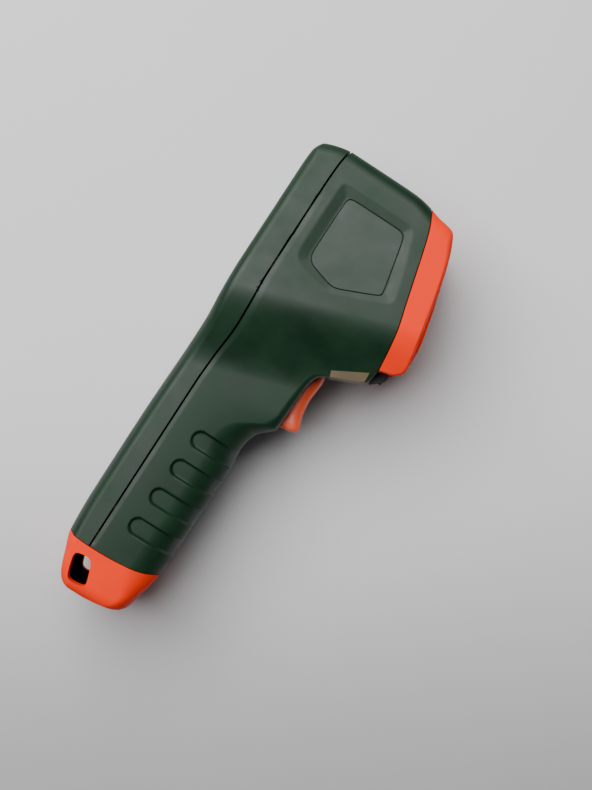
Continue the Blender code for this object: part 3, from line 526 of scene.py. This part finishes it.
def shade_material(name, colour, second, rough, grain, bump, metallic=0.0, coat=0.0, spots=14.0,
                   spread=0.12, specular=0.5):
    """A material whose colour, roughness and fine grain vary over the surface.

    grain is the size of the fine grain in millimetres and spots that of the broad changes of tone.
    """
    made = bpy.data.materials.new(name)
    made.use_nodes = True
    tree = made.node_tree
    nodes, links = tree.nodes, tree.links
    shader = nodes["Principled BSDF"]
    shader.inputs["Metallic"].default_value = metallic
    shader.inputs["Coat Weight"].default_value = coat
    shader.inputs["Specular IOR Level"].default_value = specular
    shader.inputs["Coat Roughness"].default_value = 0.25
    where = nodes.new("ShaderNodeTexCoord")
    broad = nodes.new("ShaderNodeTexNoise")
    broad.inputs["Scale"].default_value = 1.0 / (spots * MM)
    broad.inputs["Detail"].default_value = 4.0
    broad.inputs["Roughness"].default_value = 0.55
    links.new(where.outputs["Object"], broad.inputs["Vector"])
    ramp = nodes.new("ShaderNodeValToRGB")
    ramp.color_ramp.elements[0].position = 0.36
    ramp.color_ramp.elements[0].color = (*second, 1)
    ramp.color_ramp.elements[1].position = 0.64
    ramp.color_ramp.elements[1].color = (*colour, 1)
    links.new(broad.outputs["Fac"], ramp.inputs["Fac"])
    fine = nodes.new("ShaderNodeTexNoise")
    fine.inputs["Scale"].default_value = 1.0 / (grain * MM)
    fine.inputs["Detail"].default_value = 3.0
    fine.inputs["Roughness"].default_value = 0.6
    links.new(where.outputs["Object"], fine.inputs["Vector"])
    grit = nodes.new("ShaderNodeMix")
    grit.data_type = "RGBA"
    grit.blend_type = "MULTIPLY"
    grit.inputs["Factor"].default_value = spread
    links.new(ramp.outputs["Color"], grit.inputs[6])
    links.new(fine.outputs["Fac"], grit.inputs[7])
    links.new(grit.outputs[2], shader.inputs["Base Color"])
    worn = nodes.new("ShaderNodeMapRange")
    worn.inputs["From Min"].default_value = 0.3
    worn.inputs["From Max"].default_value = 0.7
    worn.inputs["To Min"].default_value = rough - 0.07
    worn.inputs["To Max"].default_value = rough + 0.07
    links.new(broad.outputs["Fac"], worn.inputs["Value"])
    links.new(worn.outputs["Result"], shader.inputs["Roughness"])
    relief_node = nodes.new("ShaderNodeBump")
    relief_node.inputs["Strength"].default_value = bump
    relief_node.inputs["Distance"].default_value = 0.12 * MM
    links.new(fine.outputs["Fac"], relief_node.inputs["Height"])
    links.new(relief_node.outputs["Normal"], shader.inputs["Normal"])
    return made


# Each look: base colour, second colour, roughness, grain size, bump, then metallic and coat where it has them.
LOOKS = {
    "green": ((0.0019, 0.0235, 0.0074), (0.0013, 0.0180, 0.0056), 0.50, 0.32, 0.22),
    "orange": ((1.0, 0.034, 0.002), (0.97, 0.029, 0.0015), 0.50, 0.35, 0.10),
    # The trigger's look is a lighter copy of the orange: painted light that brightens the trigger where it
    # lies in the body's shade.
    "trigger": ((1.0, 0.105, 0.026), (0.97, 0.092, 0.022), 0.36, 0.35, 0.08),
    # Painted shade: a near-black matte look for the slot's lining, standing in for the shadow inside the
    # lanyard slot.
    "dark": ((0.002, 0.002, 0.002), (0.0015, 0.0015, 0.0015), 0.85, 0.30, 0.20),
    "black": ((0.004, 0.004, 0.0045), (0.003, 0.003, 0.003), 0.46, 0.30, 0.20),
    "rubber": ((0.008, 0.008, 0.009), (0.006, 0.006, 0.006), 0.72, 0.35, 0.35),
    "plate": ((0.0055, 0.0250, 0.0110), (0.0045, 0.0225, 0.0100), 0.46, 0.25, 0.12),
    "label": ((0.155, 0.120, 0.072), (0.130, 0.100, 0.060), 0.50, 0.5, 0.12),
    "board": ((0.012, 0.12, 0.045), (0.008, 0.085, 0.03), 0.42, 0.6, 0.15),
    "cell": ((0.03, 0.09, 0.32), (0.025, 0.07, 0.26), 0.38, 0.8, 0.08),
    "steel": ((0.55, 0.55, 0.56), (0.46, 0.46, 0.47), 0.32, 0.25, 0.10, 1.0),
    "brass": ((0.72, 0.52, 0.22), (0.62, 0.43, 0.17), 0.32, 0.25, 0.10, 1.0),
    "alloy": ((0.62, 0.62, 0.64), (0.52, 0.52, 0.54), 0.38, 0.25, 0.12, 1.0),
    "clear": ((0.012, 0.014, 0.017), (0.009, 0.010, 0.012), 0.12, 2.0, 0.01, 0.0, 1.0),
    "lens": ((0.07, 0.03, 0.10), (0.04, 0.02, 0.08), 0.12, 2.0, 0.01, 0.6, 1.0),
    "mark": ((0.55, 0.56, 0.56), (0.48, 0.49, 0.49), 0.55, 0.4, 0.15),
}
SPECULAR = {"orange": 0.08, "black": 0.3, "green": 0.40, "plate": 0.44, "trigger": 0.6, "dark": 0.04}
MATERIALS = {name: shade_material(name, *values, specular=SPECULAR.get(name, 0.5))
             for name, values in LOOKS.items()}


def dress(obj, look, body="housing", stands_for=()):
    """Gives a piece its material and its body, and hides the CAD nodes that it stands for."""
    obj.data.materials.clear()
    obj.data.materials.append(MATERIALS[look])
    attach(obj, body)
    if stands_for:
        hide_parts(*stands_for)
    return obj


def paint_cad_nodes():
    """Carried-over CAD nodes take the finished material of their own slot."""
    for node in frame["nodes"].values():
        for held in node.material_slots:
            name = held.material.name.split(".")[0] if held.material else "black"
            held.material = MATERIALS.get(name, MATERIALS["black"])
        node.data.shade_smooth()
        node.data.set_sharp_from_angle(angle=math.radians(35))


def shell_heights():
    """Heights of the fine body form, closer together near both ends."""
    foot = 0.6 + 5.0 * (1 - np.cos(np.linspace(0, math.pi / 2, 16)))
    middle = np.arange(6.0, 204.0, 0.5)
    top = 204.2 + 5.6 * np.sin(np.linspace(0, math.pi / 2, 22))
    return np.concatenate((foot, middle, top))


def cavity():
    """The hollow inside the housing, less what stands in it."""
    hollow = body_form("hollow", INNER_HEIGHTS, WALL, (1, 3, 4, 6), False)
    stand = []
    for side in (-1, 1):
        stand.append(block("boss", (6, SCREW_Y, side * 20.0), (38, 6.4, 15.6)))
        stand.append(block("boss", (6, HEAD_SCREW_Y, side * 27.5), (38, 6.0, 12.0)))
        stand.append(block("boss", (CAP_SCREW_X, 29.5, side * 18.3), (7, 9.6, 17.2)))
        stand.append(block("cheek", (50.5, 133.2, side * 11.7), (8.4, 9.4, 4.6)))
    stand.append(block("well", (31.3, 204.0, 0), (34.6, 14.4, 31)))
    return combine(hollow, stand)


def joint_side(stations, shift, low, high, far, along_y=True):
    """A tool that fills one side of a joint line, out to two far corners."""
    at = np.linspace(low, high, JOINT_STEPS)
    value = smooth_line(stations, at) + shift
    points = list(zip(value, at)) if along_y else list(zip(at, value))
    return outline_solid("side", [(float(a), float(b)) for a, b in points] + list(far),
                         -FULL_WIDTH, FULL_WIDTH)


def left(shift):
    """A tool on the display side of the seam."""
    return joint_side(SEAM_LINE, shift, -20, 260, ((-40, FAR), (-40, -20)))


def lower(shift):
    """A tool on the cap side of the cap's edge."""
    return joint_side(CAP_LINE, shift, -30, 120, ((120, -40), (-30, -40)), False)


def forward(shift):
    """A tool on the lens side of the bezel's edge."""
    return joint_side(BEZEL_LINE, shift, 128, 220, ((120, 220), (120, 128)))


def grown(outline, by):
    """An outline with every point moved away from its middle by about this much."""
    cx = sum(p[0] for p in outline) / len(outline)
    cy = sum(p[1] for p in outline) / len(outline)
    moved = []
    for x, y in outline:
        reach = math.hypot(x - cx, y - cy)
        moved.append((x + (x - cx) / reach * by, y + (y - cy) / reach * by))
    return moved


def rear_shell(outer, hollow):
    """The shell that holds the display and the keys."""
    piece = copy_of(outer, "rear_shell_skin")
    combine(piece, [left(-SEAM_GAP / 2)], "INTERSECT")
    tools = [lower(CAP_GAP / 2), copy_of(hollow, "hollow_a")]
    tools.append(block("window_seat", (-0.9, DISPLAY_Y, 0), (5.0, 53.6, 50.6)))
    tools.append(block("window_hole", (2.0, DISPLAY_Y, 0), (8.0, 49.0, 45.0)))
    for _name, y, z, wide, high in KEYS:
        tools.append(block("key_hole", (2.0, y, z), (8.0, high + 0.7, wide + 0.7), 0.0, 0.9))
    for y, z in ((SCREW_Y, SCREW_Z), (HEAD_SCREW_Y, HEAD_SCREW_Z)):
        for side in (-1, 1):
            tools.append(rod("screw_hole", (-3, y, side * z), (1, 0, 0), 1.6, 30))
            tools.append(rod("screw_seat", (-3, y, side * z), (1, 0, 0), 2.75, 3.0 + SEAT_END))
    combine(piece, tools)
    dress(smooth(piece), "green", stands_for=("rear_shell",))


def front_housing(outer, hollow):
    """The main shell, from the seam to the bezel."""
    piece = copy_of(outer, "front_housing_skin")
    tools = [left(SEAM_GAP / 2), lower(CAP_GAP / 2), forward(-BEZEL_GAP / 2)]
    tools.append(copy_of(hollow, "hollow_b"))
    for side in (-1, 1):
        low, high = sorted((side * 30.2, side * 40.0))
        tools.append(outline_solid("plate_pocket", rounded(grown(PLATE, 0.4)), low, high))
        tools.append(rod("pin_bore", (*TRIGGER_PIVOT, side * 8.5), (0, 0, side), PIN_RADIUS, 5.0))
        tools.append(rod("hinge_bore", (*DOOR_AXIS, side * 12.5), (0, 0, side), PIN_RADIUS, 3.4))
    tools.append(outline_solid("mouth", TRIGGER_MOUTH, -9.3, 9.3))
    tools.append(block("door_seat", (31.6, 210.2, 0), (31.4, 4.0, 26.6)))
    tools.append(block("knuckle_seat", (45.6, 208.4, 0), (5.6, 4.8, 26.6)))
    tools.append(block("port_room", (31.0, 206.0, 0), (25.0, 12.0, 22.0), 0.0, 1.0))
    tools.append(block("usb_hole", (25.0, 198.0, 0), (4.2, 8.0, 10.4)))
    tools.append(block("card_hole", (36.0, 198.0, 0), (3.2, 8.0, 15.4)))
    tools.append(shutter_slot())
    combine(piece, tools)
    dress(smooth(piece), "green", stands_for=("front_housing",))


def shutter_slot():
    """A tool for the notch that the lens cover's pull slides in."""
    return face_block("shutter_slot", -10.0, -9.9, SHUTTER_REST / 2, (8.4, 14.0, 20.0))


def bezel(outer, hollow):
    """The orange frame round the optics."""
    piece = copy_of(outer, "front_bezel_skin")
    combine(piece, [forward(BEZEL_GAP / 2)], "INTERSECT")
    opening = face_block("opening", 24.0, 0, 0, (9.0, 41.6, 41.2), 4.0)
    combine(piece, [copy_of(hollow, "hollow_c"), opening, shutter_slot()])
    dress(smooth(piece), "orange", stands_for=("front_bezel",))


def end_cap(outer, hollow):
    """The orange cap at the foot of the handle."""
    piece = copy_of(outer, "end_cap_skin")
    combine(piece, [lower(-CAP_GAP / 2)], "INTERSECT")
    tools = [copy_of(hollow, "hollow_d"), outline_solid("slot", rounded(SLOT), -FULL_WIDTH, FULL_WIDTH)]
    tools.append(rod("insert_bore", (31.0, -3.0, 0), (0, 1, 0), 5.3, 14.3, 48))
    for side in (-1, 1):
        at = side * CAP_SCREW_Z
        tools.append(rod("cap_screw_hole", (CAP_SCREW_X, -2, at), (0, 1, 0), 1.6, 22))
        tools.append(rod("cap_screw_seat", (CAP_SCREW_X, -2, at), (0, 1, 0), 2.7, 7.4))
    combine(piece, tools)
    dress(smooth(piece), "orange", stands_for=("end_cap",))


def screw_plugs(outer):
    """Flush plugs over the housing screws, and a collar round each screw at the seam."""
    for word, y, z, end in (("low", SCREW_Y, SCREW_Z, PLUG_END),
                            ("head", HEAD_SCREW_Y, HEAD_SCREW_Z, HEAD_PLUG_END)):
        for hand, side in (("right", 1), ("left", -1)):
            name = f"screw_plug_{word}_{hand}"
            plug = copy_of(outer, name + "_face")
            reach = rod("reach", (-5, y, side * z), (1, 0, 0), PLUG_RADIUS, 5 + end)
            combine(plug, [reach], "INTERSECT")
            dress(smooth(plug), "green", stands_for=(name,))
            seam = float(smooth_line(SEAM_LINE, y)) - SEAM_GAP / 2
            collar = turned(f"screw_collar_{word}_{hand}", (seam - 0.1, y, side * z), (1, 0, 0),
                            COLLAR_PROFILE, 32)
            dress(collar, "black")


def slot_shade_sleeve():
    """A near-black sleeve that lines the lanyard slot, set back a little from both faces of the cap: painted
    shade standing in for the shadow inside the slot.
    """
    outer = rounded(grown(SLOT, 0.1))
    inner = rounded(grown(SLOT, -0.5))
    sleeve = outline_solid("lanyard_slot_shade_sleeve", outer, -15.5, 15.5)
    combine(sleeve, [outline_solid("sleeve_hole", inner, -20, 20)])
    dress(sleeve, "dark")


def side_plates():
    """The blank plates in the dishes of both sides."""
    for name, side in (("right", 1), ("left", -1)):
        low, high = sorted((side * 30.3, side * 31.15))
        plate = outline_solid(f"side_plate_{name}_face", rounded(PLATE), low, high)
        soften(plate, 0.25)
        dress(smooth(plate, 50), "plate", stands_for=(f"side_plate_{name}",))


def trigger():
    """The trigger as a loft of rounded sections, with a fork round its spring."""
    heights = np.concatenate((np.linspace(TRIGGER_FOOT_Y, 106.0, 14), np.linspace(106.6, 134.0, 56),
                              np.linspace(134.3, 135.9, 10)))
    rings = []
    for y in heights:
        front = float(smooth_line(TRIGGER_FRONT, y))
        rear = float(smooth_line(TRIGGER_REAR, y))
        depth = front - rear
        half = TRIGGER_HALF - 1.1 * max(0.0, 1 - (y - TRIGGER_FOOT_Y) / 1.4) ** 2
        corner = min(3.4, depth * 0.45)
        ring = []
        for k in range(9):
            a = math.radians(90) * k / 8
            ring.append((front - corner * (1 - math.cos(a)), half - 4.2 * (1 - math.sin(a))))
        ring.append((rear + 0.6, half))
        ring.append((rear, half - 0.6))
        ring = [(front, 0.0)] + ring + [(rear, 0.0)]
        rings.append(ring + [(x, -z) for x, z in reversed(ring[1:-1])])
    count = len(rings[0])
    points = [world(x, y, z) for y, ring in zip(heights, rings) for x, z in ring]
    faces = [tuple(range(count)), tuple(range((len(rings) - 1) * count, len(rings) * count))]
    for r in range(len(rings) - 1):
        for k in range(count):
            j = (k + 1) % count
            faces.append((r * count + k, r * count + j, (r + 1) * count + j, (r + 1) * count + k))
    piece = new_piece("trigger_blade", points, faces)
    combine(piece, [block("fork", (50.5, 135.0, 0), (14, 10.6, 9.0)),
                    rod("bore", (*TRIGGER_PIVOT, -13.0), (0, 0, 1), BORE_RADIUS, 26.0)])
    # The trigger takes the lighter copy of the orange, painted light against the body's shade.
    dress(smooth(piece, 45), "trigger", "trigger", stands_for=("trigger",))


def raised_mark(name, points, x, body):
    """A thin raised sign on a key: points are (across, up) from a place on its face."""
    count = len(points)
    corners = [world(x + 0.3, y, z) for z, y in points] + [world(x - 0.12, y, z) for z, y in points]
    faces = [tuple(range(count)), tuple(range(count, 2 * count))]
    for k in range(count):
        j = (k + 1) % count
        faces.append((k, j, count + j, count + k))
    dress(new_piece(name, corners, faces), "mark", body)


def arc_points(z, y, radius, start, sweep, steps):
    """Points along an arc on a key's face, as (across, up)."""
    angles = [start + sweep * k / steps for k in range(steps + 1)]
    return [(z + radius * math.cos(a), y + radius * math.sin(a)) for a in angles]


def keys():
    """Six rounded keys with plain signs: arrows, a dot and a power sign."""
    ring_start, ring_sweep = math.radians(125), math.radians(290)
    for name, y, z, wide, high in KEYS:
        face = float(smooth_line(REAR_LINE, y)) + KEY_SUNK
        middle = ((face + KEY_BACK) / 2, y, z)
        cap = block(f"key_{name}_cap", middle, (KEY_BACK - face, high, wide), 0.0, 1.1, 4)
        flange = block("flange", (5.0, y, z), (0.6, high + 1.2, wide + 1.2))
        combine(cap, [flange], "UNION")
        body = f"key_{name}"
        dress(smooth(cap, 40), "rubber", body, stands_for=(body,))
        s = SIGN_REACH
        if name in ARROWS:
            az, ay = ARROWS[name]
            tip = (z + az * s, y + ay * s)
            one = (z - az * s * 0.6 + ay * s, y - ay * s * 0.6 + az * s)
            two = (z - az * s * 0.6 - ay * s, y - ay * s * 0.6 - az * s)
            raised_mark(f"sign_{name}", [tip, one, two], face, body)
        elif name == "menu":
            raised_mark("sign_menu", arc_points(z, y, 1.5, 0.0, math.tau, 24)[:-1], face, body)
        else:
            outside = arc_points(z, y - 0.2, 2.0, ring_start, ring_sweep, 20)
            inside = arc_points(z, y - 0.2, 1.5, ring_start, ring_sweep, 20)
            raised_mark("sign_power_ring", outside + inside[::-1], face, body)
            bar = [(z - 0.28, y), (z + 0.28, y), (z + 0.28, y + 2.4), (z - 0.28, y + 2.4)]
            raised_mark("sign_power_bar", bar, face, body)


def shutter():
    """The lens cover: a blade behind the hood and a ribbed pull below the bezel."""
    blade = face_block("lens_shutter_blade", -1.0, -10.1, SHUTTER_REST, (0.8, 29.0, 7.6), 0.15)
    pull = ((71.4, 143.6), (76.4, 147.2), (76.2, 141.4), (75.6, 140.4), (71.9, 137.0), (71.4, 137.6))
    tab = outline_solid("tab", pull, SHUTTER_REST - 4.8, SHUTTER_REST + 4.8)
    combine(blade, [tab], "UNION")
    combine(blade, [block("rib", (71.1, 140.4, SHUTTER_REST + across), (0.9, 7.0, 0.7))
                    for across in (-3.2, -1.6, 0, 1.6, 3.2)])
    dress(smooth(blade, 35), "black", "lens_shutter", stands_for=("lens_shutter",))


def door():
    """The port door: a flap with rounded edges, a hinge knuckle and a nail notch at its free end."""
    flap = block("port_door_flap", (30.7, 209.4, 0), (29.0, 1.8, 26.0), 0.0, 0.45, 4)
    combine(flap, [rod("knuckle", (*DOOR_AXIS, -13.0), (0, 0, 1), 2.0, 26.0)], "UNION")
    combine(flap, [rod("bore", (*DOOR_AXIS, -20), (0, 0, 1), BORE_RADIUS, 40.0),
                   block("notch", (16.0, 210.4, 0), (1.6, 1.4, 9.0), 0.0, 0.4)])
    dress(smooth(flap, 35), "green", "port_door", stands_for=("port_door",))


def label(outer):
    """The blank label round the slope under the head, a thin sheet laid on the housing."""
    sheet = copy_of(outer, "underside_label_sheet")
    for vertex in sheet.data.vertices:
        vertex.co.x += LABEL_LIFT * math.sin(LABEL_SLOPE) * MM
        vertex.co.y -= LABEL_LIFT * math.cos(LABEL_SLOPE) * MM
        vertex.co.z += (vertex.co.z - HEAD_HALF * MM) * LABEL_SPREAD
    combine(sheet, [outline_solid("label_edge", LABEL, -FULL_WIDTH, FULL_WIDTH)], "INTERSECT")
    combine(sheet, [copy_of(outer, "label_bed")])
    dress(smooth(sheet, 50), "label", stands_for=("underside_label",))


def front_face():
    """The panel behind the bezel, with stepped rims round each optic."""
    panel = face_block("front_panel_face", 24.0, -3.6, 0, (1.6, 45.0, 46.0), 0.2)
    optics = (INFRARED, CAMERA, LASER, LAMP)
    combine(panel, [rod("hole", face_point(up, -6.0, across), FACE_AXIS, radius, 6.0, 64)
                    for up, across, radius in optics])
    dress(smooth(panel, 40), "black", stands_for=("front_panel",))
    for number, (up, across, radius) in enumerate(optics):
        profile = ((0, radius + 0.05), (0, radius + 1.5), (0.35, radius + 1.4), (0.6, radius + 1.0),
                   (0.6, radius + 0.5), (0.3, radius + 0.05))
        rim = turned(f"optic_rim_{number}", face_point(up, -2.85, across), FACE_AXIS, profile, 64)
        dress(rim, "black")
    steps = ((0, 3.6), (0, 5.0), (4.4, 7.0), (6.2, 7.0), (6.2, 6.5), (5.2, 6.3), (5.2, 5.8), (4.0, 5.6),
             (4.0, 5.1), (2.8, 4.9), (2.8, 4.5), (1.6, 4.3), (1.6, 3.9))
    hood = turned("lens_hood_steps", face_point(INFRARED[0], HOOD_BACK, 0), FACE_AXIS, steps, 64)
    dress(hood, "black", stands_for=("lens_hood",))
    dome = ((0, 0), (0, 3.2), (1.2, 3.2), (1.6, 2.6), (1.9, 1.6), (2.0, 0))
    camera = turned("camera_lens_glass", face_point(CAMERA[0], GLASS_BACK, 0), FACE_AXIS, dome, 48)
    dress(camera, "clear", stands_for=("camera_lens",))
    dome = ((0, 0), (0, 4.0), (1.3, 4.0), (1.8, 3.2), (2.1, 1.8), (2.2, 0))
    lamp = turned("lamp_lens_glass", face_point(LAMP[0], GLASS_BACK, LAMP[1]), FACE_AXIS, dome, 48)
    dress(lamp, "clear", stands_for=("lamp_lens",))


def display():
    """The display window, and four thin lines round its viewing area."""
    window = block("display_window_pane", (0.8, DISPLAY_Y, 0), (1.0, 53.0, 50.0), 0.0, 0.35, 3)
    dress(smooth(window, 40), "clear", stands_for=("display_window",))
    level = ((0.29, DISPLAY_HIGH - 0.5, 0), (0.29, DISPLAY_LOW + 0.5, 0))
    upright = ((0.29, DISPLAY_Y, DISPLAY_EDGE_Z), (0.29, DISPLAY_Y, -DISPLAY_EDGE_Z))
    for name, centre in zip(("top", "bottom"), level):
        dress(block(f"display_edge_{name}", centre, (0.06, DISPLAY_LINE, 37.7)), "rubber")
    for name, centre in zip(("right", "left"), upright):
        dress(block(f"display_edge_{name}", centre, (0.06, 48.3, DISPLAY_LINE)), "rubber")


def build_pieces():
    """Every visible piece, in a fixed order."""
    outer = body_form("outer", shell_heights(), 0.0, (8, 10, 120, 64), True)
    hollow = cavity()
    rear_shell(outer, hollow)
    front_housing(outer, hollow)
    bezel(outer, hollow)
    end_cap(outer, hollow)
    slot_shade_sleeve()
    screw_plugs(outer)
    label(outer)
    bpy.data.objects.remove(outer)
    bpy.data.objects.remove(hollow)
    side_plates()
    trigger()
    keys()
    shutter()
    door()
    front_face()
    display()


def stage():
    """The pale floor that the object lies on."""
    mesh = bpy.data.meshes.new("floor")
    far = FLOOR_HALF
    corners = [(-far, -far, 0), (far, -far, 0), (far, far, 0), (-far, far, 0)]
    mesh.from_pydata(corners, [], [(0, 1, 2, 3)])
    floor = bpy.data.objects.new("floor", mesh)
    floor.location = (0, 0, -FLOOR_DROP)
    bpy.context.scene.collection.objects.link(floor)
    look = shade_material("paper", (0.71, 0.71, 0.72), (0.695, 0.695, 0.705), 0.72, 1.2, 0.05,
                          spots=60.0, spread=0.03)
    # Painted shade: the floor's colour darkens towards its near side.
    paint_floor_shade(look)
    mesh.materials.append(look)


def paint_floor_shade(look):
    """Painted shade on the floor: its tone falls away from its far side to its near side, fixed to the floor.
    """
    nodes, links = look.node_tree.nodes, look.node_tree.links
    shader = nodes["Principled BSDF"]
    paper = shader.inputs["Base Color"].links[0].from_socket
    where = nodes.new("ShaderNodeTexCoord")
    turn = nodes.new("ShaderNodeMapping")
    turn.inputs["Rotation"].default_value = (0, 0, -CAMERA_TURN)
    links.new(where.outputs["Object"], turn.inputs["Vector"])
    parts = nodes.new("ShaderNodeSeparateXYZ")
    links.new(turn.outputs["Vector"], parts.inputs["Vector"])
    fade = nodes.new("ShaderNodeMapRange")
    fade.interpolation_type = "SMOOTHSTEP"
    fade.inputs["From Min"].default_value = -0.19
    fade.inputs["From Max"].default_value = 0.02
    fade.inputs["To Min"].default_value = 0.54
    fade.inputs["To Max"].default_value = 1.0
    links.new(parts.outputs["Y"], fade.inputs["Value"])
    tone = nodes.new("ShaderNodeVectorMath")
    tone.operation = "SCALE"
    links.new(paper, tone.inputs[0])
    links.new(fade.outputs["Result"], tone.inputs["Scale"])
    links.new(tone.outputs["Vector"], shader.inputs["Base Color"])


def area_light(name, right, up, height, size, power):
    """A soft white light, placed in metres to the right of and above the middle as the camera is turned."""
    data = bpy.data.lights.new(name, "AREA")
    data.shape = "SQUARE"
    data.size = size
    data.energy = power
    data.color = (1, 1, 1)
    lamp = bpy.data.objects.new(name, data)
    c, s = math.cos(CAMERA_TURN), math.sin(CAMERA_TURN)
    lamp.location = (right * c - up * s, right * s + up * c, height)
    lamp.rotation_euler = (Vector((0, 0, 0.03)) - lamp.location).to_track_quat("-Z", "Y").to_euler()
    bpy.context.scene.collection.objects.link(lamp)


def lights_and_camera():
    """A dim room, the key light, and the camera above the object."""
    scene_world = bpy.data.worlds.new("room")
    scene_world.use_nodes = True
    sky = scene_world.node_tree.nodes["Background"]
    sky.inputs["Color"].default_value = (0.80, 0.82, 0.85, 1)
    sky.inputs["Strength"].default_value = 0.075
    bpy.context.scene.world = scene_world
    area_light("key_light", -0.30, 0.52, 1.13, 1.2, 35.0)
    data = bpy.data.cameras.new("view_camera")
    data.lens = CAMERA_LENS
    data.sensor_width = SENSOR
    data.clip_start = 0.01
    data.clip_end = 20.0
    camera = bpy.data.objects.new("view_camera", data)
    over = world(*CAMERA_OVER, 0.0)
    camera.location = (over.x, over.y, over.z + CAMERA_HEIGHT * MM)
    camera.rotation_euler = (0, 0, CAMERA_TURN)
    bpy.context.scene.collection.objects.link(camera)
    bpy.context.scene.camera = camera


paint_cad_nodes()
build_pieces()
stage()
lights_and_camera()
